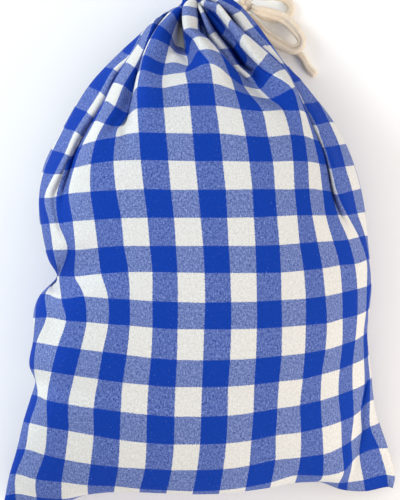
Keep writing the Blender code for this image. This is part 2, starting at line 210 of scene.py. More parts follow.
# Folds, each a straight line on the cloth from one column and row to another. A depth is in
# millimetres, below zero for a trough and above it for a ridge, a half-width is in stripes, and a
# keenness above 1 makes a sharper crease. The front's columns are counted as in its lay, and the
# back's from its middle.
FOLD_COLUMNS = ("column_a", "row_a", "column_b", "row_b", "depth", "half_width", "keenness")
FRONT_FOLDS = (
    (0.1, 24, 0.2, 13.0, 5, 0.9, 1),
    (1.3, 25, 1.6, 12.8, -11, 0.7, 1.6),
    (2.9, 24, 3.0, 14.5, 6, 1.0, 1),
    (4.2, 25, 4.5, 15.2, -16, 0.7, 1.8),
    (5.4, 24.5, 5.4, 15.5, 7, 1.0, 1),
    (6.75, 24, 6.75, 20.9, -16, 0.5, 1.2),
    (6.6, 23, 6.6, 19.4, -5, 0.9, 1),
    (7.4, 24, 7.6, 18.8, -9, 0.6, 1.3),
    (8.5, 25, 8.3, 18.3, 9, 0.8, 1),
    (9.25, 23.5, 9.35, 20.6, -17, 0.45, 1.4),
    (9.75, 23.5, 9.8, 21.6, -12, 0.45, 1.2),
    (10.45, 23.6, 10.5, 22.0, 9, 0.45, 1),
    (10.1, 21.8, 10.2, 20.4, -8, 0.5, 1),
    (10.8, 21.5, 10.9, 19.0, 5, 0.5, 1),
    (11.2, 23.2, 11.35, 19.4, -15, 0.5, 1.2),
    (11.5, 21.8, 11.5, 18.2, -6, 0.6, 1),
    (11.88, 23.6, 11.88, 18.6, -8, 0.25, 1.5),
    (12.4, 25, 12.0, 16.5, 8, 0.8, 1),
    (13.65, 22.6, 13.7, 19.3, -10, 0.45, 1.3),
    (14.3, 22.6, 14.3, 19.3, 4, 0.5, 1),
    (10.2, 19.5, 11.2, 15.5, -6, 0.9, 1.2),
    (13.5, 24.5, 14.3, 12.3, -11, 0.7, 1.8),
    (14.8, 24, 15.3, 12.5, 6, 0.9, 1),
    (-1.5, 9.9, 3.2, 10.5, -6, 1.1, 1),
    (0.6, 14.5, 1.5, 10.8, -4, 0.9, 1),
    (0.2, 9.0, 0.8, 6.0, -3, 0.9, 1),
    (15.3, 5.4, 14.1, 0.6, -4, 1.1, 1),
    (0.0, 1.9, 1.2, 0.6, -4, 0.6, 1.3),
    (12.6, 11.5, 15.2, 8.0, -2.5, 0.9, 1),
)
BACK_FOLDS = (
    (-7.1, 27, -7.3, 14.0, 4, 1.1, 1),
    (-5.4, 27, -5.8, 13.0, -6, 1.1, 1.4),
    (-3.7, 27, -4.0, 15.0, 5, 1.1, 1),
    (-1.9, 27, -2.0, 16.5, -6, 1.1, 1.4),
    (0.0, 27, 0.3, 15.5, 5, 1.1, 1),
    (1.9, 27, 2.3, 16.0, -6, 1.1, 1.4),
    (3.7, 27, 4.1, 14.5, 5, 1.1, 1),
    (5.4, 27, 5.9, 13.0, -6, 1.1, 1.4),
    (7.1, 27, 7.3, 14.0, 4, 1.1, 1),
)
FOLD_TAPER = 2.4
FOLD_TAPER_SHARE = 0.7
SEAM_CALM = 1.1
HEM_CALM = 1.6

# The front's folds have their full depth where its crown is this high, and never less than a share
# of it. On a steep wall they are lifted as on one whose slope is no steeper than the last value.
FULL_FOLD_CROWN = 24.0
LEAST_FOLD_SHARE = 0.25
LEAST_UPWARD = 0.5
LEAST_BACK_FOLD_SHARE = 0.3

# Gathers: an uneven ripple across the cloth that deepens towards the neck, in stripes, and the
# slack that rumples the back along its length.
GATHER_ROW = 13.0
GATHER_RISE = 9.0
BACK_GATHER = 1.8
BACK_RUMPLE = 0.95

# The back stays this clearance and, from just inside its edge, a cloth's thickness under the
# front's points. Below the neck it is left alone close to the seams. The front is felt for in cells.
CLOTH_CLEARANCE = 1.1
SEWN_STRIPES = 0.35
EDGE_STRIPES = 0.15
NECK_ROW = 17.0
NECK_RISE = 2.0
CLEARANCE_CELL = 2.5

# Small unevenness of the cloth: the size of its swells in stripes, their height in millimetres and
# where in the noise each is read, and how far they are drawn out along the gathers, over how many rows.
SWELLS = ((3.1, 1.5, 11.0), (1.2, 0.55, 47.0), (0.5, 0.16, 83.0))
SWELL_DRAW = 2.2
SWELL_DRAW_ROWS = 6.0

# The cord, as in the solids. Each strand's route is given as it is seen in the picture, across and
# down its 400 by 500 frame, with the strand's height above the surface in millimetres.
CORD_DIAMETER = 8.0
KNOT_CENTRE = (41.2, 234.2, 28.0)
KNOT_RADIUS = 8.5
CORD_GAP = 0.9
STRANDS = {
    "cord_loop_upper": {
        "leaves": (38, 20),
        "returns": (-15, -42),
        "route": (
            (262.0, -3.5, 23.0), (273.0, -3.5, 13.0), (281.5, -2.2, 7.0), (287.5, 1.0, 4.6),
            (290.8, 6.6, 4.3), (290.0, 12.6, 4.3), (285.0, 17.0, 4.3), (277.0, 18.9, 4.3),
            (268.5, 18.2, 4.8), (261.0, 15.0, 8.4),
        ),
    },
    "cord_loop_lower": {
        "leaves": (-25, 12),
        "returns": (-90, -42),
        "route": (
            (260.0, 11.0, 27.6), (267.0, 12.8, 22.0), (275.0, 14.9, 16.8), (283.5, 18.7, 13.6),
            (290.5, 24.4, 12.9), (296.3, 31.0, 12.9), (300.6, 37.4, 12.9), (301.4, 43.4, 12.9),
            (297.8, 48.2, 12.9), (292.0, 49.4, 12.9), (285.5, 47.0, 12.9), (277.5, 42.8, 12.9),
            (269.5, 38.0, 12.9), (262.0, 32.2, 12.9), (255.5, 25.4, 12.6), (249.6, 18.8, 14.0),
        ),
    },
    "cord_end": {
        "leaves": None,
        "returns": None,
        "route": (
            (236.0, 29.2, 7.5), (243.8, 30.4, 5.4), (252.0, 31.4, 4.3), (262.0, 35.0, 4.3),
            (271.0, 40.2, 4.3), (280.0, 45.2, 4.3), (288.5, 49.4, 4.3), (294.8, 51.2, 4.3),
            (300.2, 54.6, 4.3), (304.4, 60.6, 4.3), (308.2, 67.8, 4.3), (315.6, 75.6, 4.3),
        ),
    },
}

# How wide and how high each strand's soft, flattened tube is at shares of its length, how deep the
# fold along its top is and how far that lies to one side, as a share of half its width.
STRAND_SHAPES = {
    "cord_loop_upper": ((0.0, 6.6, 6.6), (0.3, 7.4, 6.8), (0.6, 7.6, 7.0), (1.0, 6.8, 6.8)),
    "cord_loop_lower": (
        (0.0, 7.2, 7.0), (0.07, 10.2, 7.4), (0.25, 11.4, 7.4), (0.36, 10.6, 7.4), (0.46, 8.2, 7.2),
        (0.56, 9.4, 7.2), (0.68, 11.6, 7.2), (0.85, 10.6, 7.0), (1.0, 7.0, 6.8),
    ),
    "cord_end": (
        (0.0, 6.6, 6.6), (0.5, 7.2, 6.8), (0.8, 6.8, 6.8), (0.93, 7.8, 7.2), (0.97, 7.8, 7.0),
        (0.99, 6.8, 6.2), (1.0, 4.6, 4.4),
    ),
}
STRAND_FOLDS = {"cord_loop_upper": (0.7, 0.1), "cord_loop_lower": (2.3, 0.28), "cord_end": (0.5, -0.1)}
TUBE_SIDES = 36
TUBE_STEP = 1.1
TUBE_ROUGHNESS = 0.05
ROUTE_PARTS = 16

# The knot: a trefoil of the same cord, pulled tight.
KNOT_TURN = 2.0
KNOT_RISE = 2.8
KNOT_TUBE = 5.9
KNOT_LEAN = (0.25, 0.4, 1.15)
KNOT_STEPS = 96

# The camera looks straight down on the bag from well above it.
PICTURE_MM_PER_PIXEL = 0.947
PICTURE_MIDDLE = (200.0, 250.0)
PICTURE_HEIGHT = 500
SEAM_LEVEL = 50.0
CAMERA_HEIGHT = 3200.0
SENSOR = 36.0

ROYAL_BLUE = (0.003, 0.039, 0.328, 1.0)
CHAMBRAY = (0.115, 0.165, 0.398, 1.0)
COTTON_WHITE = (0.630, 0.630, 0.620, 1.0)
COTTON_FIBRE_DARK = (0.62, 0.52, 0.40, 1.0)
COTTON_FIBRE_LIGHT = (0.86, 0.78, 0.66, 1.0)
COTTON_SEED = (0.66, 0.54, 0.40, 1.0)
FLOOR_WHITE = (0.920, 0.920, 0.920, 1.0)

# The studio: its even light, two soft lights with their size in metres and power, and its floor.
STUDIO_STRENGTH = 0.79
WINDOW = ("window", (-1.7, 0.9, 1.15), 0.9, 32.0, (0.86, 0.95, 1.0))
LAMP = ("lamp", (1.7, -0.9, 0.95), 0.9, 28.0, (1.0, 0.86, 0.71))
LIGHT_AIM = Vector((0.0, 0.0, 0.05))
FLOOR_SIZE = 4.0


def smooth_step(value):
    value = np.clip(value, 0.0, 1.0)
    return value * value * (3.0 - 2.0 * value)


def smooth_rows(knots, values, rows):
    """Values that are given at uneven rows, read as smooth curves at other rows."""
    slopes = np.gradient(values, knots, axis=0)
    place = np.clip(np.searchsorted(knots, rows, side="right") - 1, 0, len(knots) - 2)
    span = knots[place + 1] - knots[place]
    share = (rows - knots[place]) / span
    if values.ndim == 2:
        span = span[:, None]
        share = share[:, None]
    rise_0 = slopes[place] * span
    rise_1 = slopes[place + 1] * span
    step = values[place + 1] - values[place]
    start = values[place] + share * rise_0
    return start + share**2 * (3 * step - 2 * rise_0 - rise_1) + share**3 * (rise_0 + rise_1 - 2 * step)


def smooth_columns(knots, values, wanted):
    """A curve through values at the given columns that never swings past them."""
    gaps = np.diff(knots)
    steps = np.diff(values) / gaps
    slopes = np.zeros(len(knots))
    same_way = steps[:-1] * steps[1:] > 0
    weight = (gaps[:-1] + 2 * gaps[1:]) / (3 * (gaps[:-1] + gaps[1:]))
    safe_0 = np.where(same_way, steps[:-1], 1.0)
    safe_1 = np.where(same_way, steps[1:], 1.0)
    slopes[1:-1] = np.where(same_way, 1.0 / (weight / safe_1 + (1 - weight) / safe_0), 0.0)
    slopes[0] = steps[0]
    slopes[-1] = steps[-1]
    place = np.clip(np.searchsorted(knots, wanted, side="right") - 1, 0, len(knots) - 2)
    share = (wanted - knots[place]) / gaps[place]
    rise_0 = slopes[place] * gaps[place]
    rise_1 = slopes[place + 1] * gaps[place]
    step = values[place + 1] - values[place]
    start = values[place] + share * rise_0
    return start + share**2 * (3 * step - 2 * rise_0 - rise_1) + share**3 * (rise_0 + rise_1 - 2 * step)


def section_value(name, rows):
    """One column of the section table, read as a smooth curve at the given rows."""
    table = np.array(SECTIONS, dtype=float)
    return smooth_rows(table[:, 0], table[:, SECTION_COLUMNS.index(name)], rows)


def half_arch(width, height, power):
    """A quarter of a superellipse, from its foot out at the side to its top."""
    angle = np.linspace(0.0, math.pi / 2, ARC_STEPS + 1)
    return width * np.cos(angle) ** (2 / power), height * np.sin(angle) ** (2 / power)


def section_curve(section, height):
    """One cross-section: its x, its height and the length along it."""
    left_x, left_z = half_arch(section["peak_x"] - section["left_x"], height, section["left_power"])
    right_x, right_z = half_arch(section["right_x"] - section["peak_x"], height, section["right_power"])
    x = np.concatenate([section["peak_x"] - left_x, section["peak_x"] + right_x[::-1][1:]])
    z = np.concatenate([left_z, right_z[::-1][1:]])
    along = np.concatenate([[0.0], np.cumsum(np.hypot(np.diff(x), np.diff(z)))])
    return x, z, along


def outward(x, z, along, wanted):
    """The directions straight out of a cross-section at the wanted lengths along it."""
    tangent_x = np.interp(wanted, along, np.gradient(x, along))
    tangent_z = np.interp(wanted, along, np.gradient(z, along))
    size = np.hypot(tangent_x, tangent_z)
    return -tangent_z / size, tangent_x / size


def fold_depth(folds, column, row):
    """The sum of the folds at each place on the cloth, in stripes."""
    total = np.zeros(np.broadcast(column, row).shape)
    for fold in folds:
        f = dict(zip(FOLD_COLUMNS, fold))
        run = np.array([f["column_b"] - f["column_a"], f["row_b"] - f["row_a"]])
        length = np.hypot(*run)
        ahead = ((column - f["column_a"]) * run[0] + (row - f["row_a"]) * run[1]) / length
        aside = ((column - f["column_a"]) * run[1] - (row - f["row_a"]) * run[0]) / length
        near = np.clip(np.abs(aside) / f["half_width"], 0.0, 1.0)
        across = (0.5 + 0.5 * np.cos(math.pi * near)) ** f["keenness"]
        taper = min(FOLD_TAPER, FOLD_TAPER_SHARE * length)
        ends = smooth_step(ahead / taper + 0.5) * smooth_step((length - ahead) / taper + 0.5)
        total = total + f["depth"] * across * ends
    return total


def swell_height(column, row, side):
    """The cloth's small unevenness, in millimetres, drawn out along the gathers near the neck."""
    drawn = 1.0 + SWELL_DRAW * float(smooth_step((row - GATHER_ROW) / SWELL_DRAW_ROWS))
    total = 0.0
    for size, height, offset in SWELLS:
        place = Vector((column * drawn / size + offset, row / (size * drawn), side * 5.0))
        total += height * noise.noise(place)
    return total


def gather_depth(column, row):
    """The ripples of the back's gathers and the rumples across them, in stripes."""
    rise = float(smooth_step((row - GATHER_ROW) / GATHER_RISE))
    sway = noise.noise(Vector((column * 0.31, row * 0.12, 40.0)))
    strength = 0.75 + 0.5 * noise.noise(Vector((column * 0.8, row * 0.2, 3.0)))
    ripple = math.sin(2 * math.pi * (column / 1.45 + 1.1 * sway)) - 0.7
    roll = noise.noise(Vector((column * 0.3, row * 1.2, 9.0))) - 0.3
    return rise * BACK_GATHER * strength * ripple + BACK_RUMPLE * roll


def seam_calm(column, row):
    """How free the cloth is to fold: not at all at its side seams and its bottom seam."""
    sides = smooth_step((COLUMNS_ACROSS / 2 - np.abs(column)) / SEAM_CALM)
    return sides * smooth_step((row - FIRST_ROW) / HEM_CALM)


def bend_places(rows, lay_rows, lay):
    """Where each bend of the front lies at the given rows, as the lay's own places pulled aside."""
    places = []
    for stripe, marks in FRONT_BENDS:
        marked_rows = np.array([mark[0] for mark in marks], dtype=float)
        low = int(stripe)
        pulls = []
        for axis in (0, 1):
            left = np.interp(marked_rows, lay_rows, lay[axis][:, low])
            right = np.interp(marked_rows, lay_rows, lay[axis][:, low + 1])
            straight = left + (right - left) * (stripe - low)
            pull = np.array([mark[axis + 1] for mark in marks], dtype=float) - straight
            spread_rows = np.concatenate([[marked_rows[0] - 1.0], marked_rows, [marked_rows[-1] + 1.0]])
            pulls.append(np.interp(rows, spread_rows, np.concatenate([[0.0], pull, [0.0]])))
        places.append((stripe, pulls[0], -pulls[1]))
    return places


def front_points(divisions):
    """The front's points and the stripe at each: it lies as in the photograph, on the rounded bag."""
    across, along_rows = divisions
    spread = np.linspace(-1.0, 1.0, across + 1)
    column = spread * COLUMNS_ACROSS / 2
    stripe = FIRST_COLUMN + COLUMNS_ACROSS / 2 + column
    rows = np.linspace(FIRST_ROW, LAST_ROW, along_rows + 1)
    lay_rows = np.array([entry[0] for entry in FRONT_LAY], dtype=float)
    lay = [np.array([entry[axis] for entry in FRONT_LAY], dtype=float) for axis in (1, 2)]
    lay_x = smooth_rows(lay_rows, (lay[0] - PICTURE_MIDDLE[0]) * PICTURE_MM_PER_PIXEL, rows)
    lay_y = smooth_rows(lay_rows, (PICTURE_MIDDLE[1] - lay[1]) * PICTURE_MM_PER_PIXEL, rows)
    stripes = np.arange(float(WHOLE_STRIPES))
    for bend, pull_x, pull_y in bend_places(rows, lay_rows, lay):
        at = int(np.searchsorted(stripes, bend))
        share = (bend - stripes[at - 1]) / (stripes[at] - stripes[at - 1])
        bend_x = lay_x[:, at - 1] * (1 - share) + lay_x[:, at] * share + pull_x * PICTURE_MM_PER_PIXEL
        bend_y = lay_y[:, at - 1] * (1 - share) + lay_y[:, at] * share + pull_y * PICTURE_MM_PER_PIXEL
        lay_x = np.insert(lay_x, at, bend_x, axis=1)
        lay_y = np.insert(lay_y, at, bend_y, axis=1)
        stripes = np.insert(stripes, at, bend)
    seam_rows = rows + np.interp(rows, SEAM_SHIFT_ROWS, SEAM_SHIFTS)
    values = {name: section_value(name, rows) for name in SECTION_COLUMNS[1:]}
    shifted = {name: section_value(name, seam_rows) for name in ("right_x", "right_y", "seam_z")}
    knots = np.concatenate([[FIRST_COLUMN], stripes, [FIRST_COLUMN + COLUMNS_ACROSS]])
    points = np.zeros((along_rows + 1, across + 1, 3))
    columns = np.zeros((along_rows + 1, across + 1))
    for j, row in enumerate(rows):
        section = {name: values[name][j] for name in values}
        section["right_x"] = shifted["right_x"][j]
        x, z, along = section_curve(section, max(section["crown"], 0.0))
        nodes = np.interp(lay_x[j], x, along)
        nodes = np.concatenate([[0.0], nodes, [along[-1]]])
        wanted = smooth_columns(knots, nodes, stripe)
        past_left = np.minimum(stripe, (wanted - nodes[1]) / SIDE_STRIPE)
        last = WHOLE_STRIPES - 1
        past_right = np.maximum(stripe, last + (wanted - nodes[-2]) / SIDE_STRIPE)
        columns[j] = np.where(stripe < 0, past_left, np.where(stripe > last, past_right, stripe))
        y_nodes = np.concatenate([[section["left_y"]], lay_y[j], [shifted["right_y"][j]]])
        y = (smooth_columns(knots, y_nodes, stripe) + smooth_rows(knots, y_nodes, stripe)) / 2
        out_x, out_z = outward(x, z, along, wanted)
        swell = np.array([swell_height(c, row, 1) for c in column])
        tight = min(1.0, max(section["crown"] / FULL_FOLD_CROWN, LEAST_FOLD_SHARE))
        push = (fold_depth(FRONT_FOLDS, stripe, row) + swell) * tight * seam_calm(column, row)
        lift = push / np.maximum(out_z, LEAST_UPWARD)
        low = smooth_step((row - FIRST_ROW) / SEAM_ARCH_ROWS)
        arch = SEAM_ARCH * (1.0 - spread**2) * (1.0 - low)
        seam = section["seam_z"] + (shifted["seam_z"][j] - section["seam_z"]) * ((1.0 + spread) / 2.0) ** 4
        height = seam + arch + np.interp(wanted, along, z) + lift + SEAM_GAP / 2
        nearer = (CAMERA_HEIGHT - height) / (CAMERA_HEIGHT - SEAM_LEVEL)
        points[j, :, 0] = np.interp(wanted, along, x) * nearer - CENTRE_X
        points[j, :, 1] = y * nearer - CENTRE_Y
        points[j, :, 2] = height
    return points, columns


def back_points(divisions):
    """The back's points and the stripe at each, evenly spread and deeply gathered at the neck."""
    across, along_rows = divisions
    spread = np.linspace(-1.0, 1.0, across + 1)
    column = spread * COLUMNS_ACROSS / 2
    rows = np.linspace(FIRST_ROW, LAST_ROW, along_rows + 1)
    values = {name: section_value(name, rows) for name in SECTION_COLUMNS[1:]}
    points = np.zeros((along_rows + 1, across + 1, 3))
    for j, row in enumerate(rows):
        section = {name: values[name][j] for name in values}
        x, z, along = section_curve(section, max(section["belly"], 0.0))
        wanted = (1.0 + spread) / 2.0 * along[-1]
        out_x, out_z = outward(x, z, along, wanted)
        stripe = min(STRIPE, along[-1] / COLUMNS_ACROSS)
        swell = np.array([swell_height(c, row, -1) for c in column])
        gathers = np.array([gather_depth(c, row) for c in column])
        small = stripe / STRIPE
        folds = fold_depth(BACK_FOLDS, column, row) * max(small, LEAST_BACK_FOLD_SHARE)
        push = folds + gathers * stripe + swell * small
        push = push * seam_calm(column, row)
        low = smooth_step((row - FIRST_ROW) / SEAM_ARCH_ROWS)
        arch = SEAM_ARCH * (1.0 - spread**2) * (1.0 - low)
        bow = 1.0 - np.abs(spread) ** BOW_POWER
        nip_fade = 1.0 - smooth_step((row - FIRST_ROW) / NIP_ROWS)
        nip = NIP_HEIGHT * nip_fade * np.exp(-(((column - NIP_COLUMN) / NIP_WIDTH) ** 2))
        bulge = SECTIONS[0][SECTION_COLUMNS.index("bulge_y")] * (1.0 - low)
        height = section["seam_z"] + arch - np.interp(wanted, along, z) - push * out_z - SEAM_GAP / 2
        slope_y = section["right_y"] - section["left_y"]
        sides = np.clip(np.interp(wanted, along, x) + push * out_x, section["left_x"], section["right_x"])
        points[j, :, 0] = sides - CENTRE_X
        points[j, :, 1] = section["left_y"] + slope_y * (1.0 + spread) / 2.0 + bulge * bow + nip - CENTRE_Y
        points[j, :, 2] = np.maximum(height, REST_LEVEL)
    columns = np.tile(column + COLUMNS_ACROSS / 2 + FIRST_COLUMN, (along_rows + 1, 1))
    return points, columns


def press_under(back, front):
    """Presses the back's folds down wherever they would rise through the front's inner face."""
    corner = front[..., :2].min(axis=(0, 1)) - 2 * CLEARANCE_CELL
    cells = np.floor((front[..., :2] - corner) / CLEARANCE_CELL).astype(int)
    lowest = np.full(cells.max(axis=(0, 1)) + 3, np.inf)
    np.minimum.at(lowest, (cells[..., 0], cells[..., 1]), front[..., 2])
    around = [np.roll(lowest, (i, j), axis=(0, 1)) for i in (-1, 0, 1) for j in (-1, 0, 1)]
    lowest = np.minimum.reduce(around)
    cells = np.floor((back[..., :2] - corner) / CLEARANCE_CELL).astype(int)
    cells = np.clip(cells, 0, np.array(lowest.shape) - 1)
    from_side = (1.0 - np.abs(np.linspace(-1.0, 1.0, back.shape[1]))) * COLUMNS_ACROSS / 2
    rows = np.linspace(FIRST_ROW, LAST_ROW, back.shape[0])[:, None]
    free = smooth_step(np.minimum(from_side, rows - FIRST_ROW) / SEWN_STRIPES)
    free = np.maximum(free, smooth_step((rows - NECK_ROW) / NECK_RISE))
    ceiling = lowest[cells[..., 0], cells[..., 1]] - CLOTH_CLEARANCE
    ceiling = ceiling - CLOTH_THICKNESS * smooth_step(from_side / EDGE_STRIPES)
    pressed = back[..., 2] - np.maximum(back[..., 2] - ceiling, 0.0) * free
    back[..., 2] = np.maximum(pressed, REST_LEVEL)


def make_cloth(name, divisions, points, columns, side, material):
    """One cloth: a grid laid over the worked-out points, with its place on the cloth as its UV map."""
    across, along = divisions
    mesh = bpy.data.meshes.new(name)
    sheet = bmesh.new()
    bmesh.ops.create_grid(sheet, x_segments=across, y_segments=along, size=1.0)
    cloth_map = sheet.loops.layers.uv.new("cloth")
    for face in sheet.faces:
        for loop in face.loops:
            i = round((loop.vert.co.x + 1.0) / 2.0 * across)
            j = round((loop.vert.co.y + 1.0) / 2.0 * along)
            row = FIRST_ROW + (LAST_ROW - FIRST_ROW) * j / along
            loop[cloth_map].uv = ((columns[j, i] + CLOTH_UV_EDGE) / CLOTH_UV_SPAN, row / CLOTH_UV_SPAN)
    for vertex in sheet.verts:
        i = round((vertex.co.x + 1.0) / 2.0 * across)
        j = round((vertex.co.y + 1.0) / 2.0 * along)
        vertex.co = Vector(points[j, i]) * MM
    if side < 0:
        bmesh.ops.reverse_faces(sheet, faces=sheet.faces[:])
    sheet.to_mesh(mesh)
    sheet.free()
    mesh.shade_smooth()
    mesh.materials.append(material)
    cloth = bpy.data.objects.new(name, mesh)
    bpy.context.collection.objects.link(cloth)
    thickness = cloth.modifiers.new("thickness", "SOLIDIFY")
    thickness.thickness = CLOTH_THICKNESS * MM
    thickness.offset = 1.0
    return cloth


class Nodes:
    """Small helper that adds and joins shader nodes in one tree."""

    def __init__(self, tree):
        self.tree = tree

    def add(self, kind, **settings):
        node = self.tree.nodes.new(kind)
        for name, value in settings.items():
            setattr(node, name, value)
        return node

    def join(self, source, target):
        self.tree.links.new(source, target)

    def feed(self, socket, value):
        if hasattr(value, "links"):
            self.join(value, socket)
        else:
            socket.default_value = value

    def math(self, operation, *values):
        node = self.add("ShaderNodeMath", operation=operation)
        for socket, value in zip(node.inputs, values):
            self.feed(socket, value)
        return node.outputs[0]

    def noise(self, vector, scale, detail=2.0, roughness=0.5):
        node = self.add("ShaderNodeTexNoise")
        self.join(vector, node.inputs["Vector"])
        node.inputs["Scale"].default_value = scale
        node.inputs["Detail"].default_value = detail
        node.inputs["Roughness"].default_value = roughness
        return node.outputs["Fac"]

    def stretch(self, vector, scale):
        node = self.add("ShaderNodeMapping")
        self.join(vector, node.inputs["Vector"])
        node.inputs["Scale"].default_value = scale
        return node.outputs["Vector"]

    def remap(self, value, low, high, to_low, to_high):
        node = self.add("ShaderNodeMapRange")
        self.feed(node.inputs["Value"], value)
        node.inputs["From Min"].default_value = low
        node.inputs["From Max"].default_value = high
        node.inputs["To Min"].default_value = to_low
        node.inputs["To Max"].default_value = to_high
        return node.outputs["Result"]

    def mix(self, factor, first, second, blend="MIX"):
        node = self.add("ShaderNodeMix", data_type="RGBA", blend_type=blend)
        self.feed(node.inputs[0], factor)
        self.feed(node.inputs[6], first)
        self.feed(node.inputs[7], second)
        return node.outputs[2]


def new_group(name, inputs, outputs):
    """A shader node group with named sockets, and its helper, entry and exit."""
    group = bpy.data.node_groups.new(name, "ShaderNodeTree")
    for label, kind in inputs:
        group.interface.new_socket(name=label, in_out="INPUT", socket_type=kind)
    for label, kind in outputs:
        group.interface.new_socket(name=label, in_out="OUTPUT", socket_type=kind)
    nodes = Nodes(group)
    return group, nodes, nodes.add("NodeGroupInput"), nodes.add("NodeGroupOutput")


def gingham_group():
    """Blue and white gingham from a place on the cloth in stripes: its colour and its weave."""
    group, n, entry, leave = new_group(
        "gingham_weave",
        (
            ("Cloth", "NodeSocketVector"),
            ("Blue", "NodeSocketColor"),
            ("Chambray", "NodeSocketColor"),
            ("White", "NodeSocketColor"),
        ),
        (("Color", "NodeSocketColor"), ("Height", "NodeSocketFloat"), ("Roughness", "NodeSocketFloat")),
    )
    cloth = entry.outputs["Cloth"]
    # Yarns that run up the cloth and across it, each uneven along its length, and their slubs
    up_yarn = n.noise(n.stretch(cloth, (26.0, 6.5, 1.0)), 1.0, 2.0, 0.7)
    cross_yarn = n.noise(n.stretch(cloth, (7.5, 26.0, 1.0)), 1.0, 2.0, 0.7)
    blotch = n.noise(n.stretch(cloth, (15.0, 12.0, 1.0)), 1.0, 2.0, 0.7)
    slub = n.remap(n.noise(n.stretch(cloth, (24.0, 9.0, 1.0)), 1.0, 1.0, 0.5), 0.70, 0.76, 0.0, 1.0)
    parts = n.add("ShaderNodeSeparateXYZ")
    n.join(cloth, parts.inputs[0])
    # The edges of the stripes are as ragged as the yarns are
    ragged_x = n.math("MULTIPLY_ADD", n.math("SUBTRACT", cross_yarn, 0.5), 0.12, parts.outputs["X"])
    ragged_y = n.math("MULTIPLY_ADD", n.math("SUBTRACT", up_yarn, 0.5), 0.12, parts.outputs["Y"])
    blue_up = n.math("LESS_THAN", n.math("MODULO", ragged_x, 2.0), 1.0)
    blue_cross = n.math("LESS_THAN", n.math("MODULO", ragged_y, 2.0), 1.0)
    heather = n.math("MULTIPLY_ADD", n.math("SUBTRACT", blotch, 0.5), 1.0, n.math("SUBTRACT", up_yarn, 0.5))
    heather = n.math("MULTIPLY_ADD", n.math("SUBTRACT", cross_yarn, 0.5), 0.9, heather)
    # How much blue shows: most where both yarns are blue, less where only one of them is
    share_up = n.math("MULTIPLY", blue_up, n.math("MULTIPLY_ADD", heather, 0.26, 0.87))
    share_cross = n.math("MULTIPLY", blue_cross, n.math("MULTIPLY_ADD", heather, 0.30, 0.80))
    share = n.math("MAXIMUM", share_up, share_cross)
    share = n.math("MAXIMUM", share, n.math("MULTIPLY", blue_up, blue_cross))
    share = n.math("MINIMUM", n.math("MULTIPLY_ADD", slub, -0.12, share), 1.0)
    colour = n.mix(n.remap(share, 0.0, 0.82, 0.0, 1.0), entry.outputs["White"], entry.outputs["Chambray"])
    colour = n.mix(n.remap(share, 0.82, 1.0, 0.0, 1.0), colour, entry.outputs["Blue"])
    mixed = n.math("ABSOLUTE", n.math("SUBTRACT", blue_up, blue_cross))
    tone = n.math("MULTIPLY_ADD", heather, n.math("MULTIPLY_ADD", mixed, -0.65, -0.45), 1.0)
    shade = n.add("ShaderNodeCombineColor")
    for socket in shade.inputs[:3]:
        n.join(tone, socket)
    colour = n.mix(1.0, colour, shade.outputs[0], "MULTIPLY")
    n.join(colour, leave.inputs["Color"])
    # The weave's own relief, with thick yarns a little higher
    warp_rib = n.add("ShaderNodeTexWave", wave_type="BANDS", bands_direction="X")
    n.join(cloth, warp_rib.inputs["Vector"])
    warp_rib.inputs["Scale"].default_value = 13.0
    weft_rib = n.add("ShaderNodeTexWave", wave_type="BANDS", bands_direction="Y")
    n.join(cloth, weft_rib.inputs["Vector"])
    weft_rib.inputs["Scale"].default_value = 13.0
    relief = n.math("MULTIPLY", warp_rib.outputs["Fac"], weft_rib.outputs["Fac"])
    height = n.math("MULTIPLY_ADD", heather, 1.2, n.math("MULTIPLY", relief, 0.3))
    n.join(height, leave.inputs["Height"])
    n.join(n.remap(up_yarn, 0.3, 0.7, 0.80, 0.94), leave.inputs["Roughness"])
    return group


def gingham_material(name, group):
    material = bpy.data.materials.new(name)
    material.use_nodes = True
    n = Nodes(material.node_tree)
    shader = material.node_tree.nodes["Principled BSDF"]
    place = n.add("ShaderNodeUVMap", uv_map="cloth")
    cloth = n.stretch(place.outputs["UV"], (CLOTH_UV_SPAN, CLOTH_UV_SPAN, 1.0))
    weave = n.add("ShaderNodeGroup", node_tree=group)
    n.join(cloth, weave.inputs["Cloth"])
    weave.inputs["Blue"].default_value = ROYAL_BLUE
    weave.inputs["Chambray"].default_value = CHAMBRAY
    weave.inputs["White"].default_value = COTTON_WHITE
    bump = n.add("ShaderNodeBump")
    bump.inputs["Strength"].default_value = 0.35
    bump.inputs["Distance"].default_value = 0.0006
    n.join(weave.outputs["Height"], bump.inputs["Height"])
    n.join(weave.outputs["Color"], shader.inputs["Base Color"])
    n.join(weave.outputs["Roughness"], shader.inputs["Roughness"])
    n.join(bump.outputs["Normal"], shader.inputs["Normal"])
    shader.inputs["Specular IOR Level"].default_value = 0.1
    return material


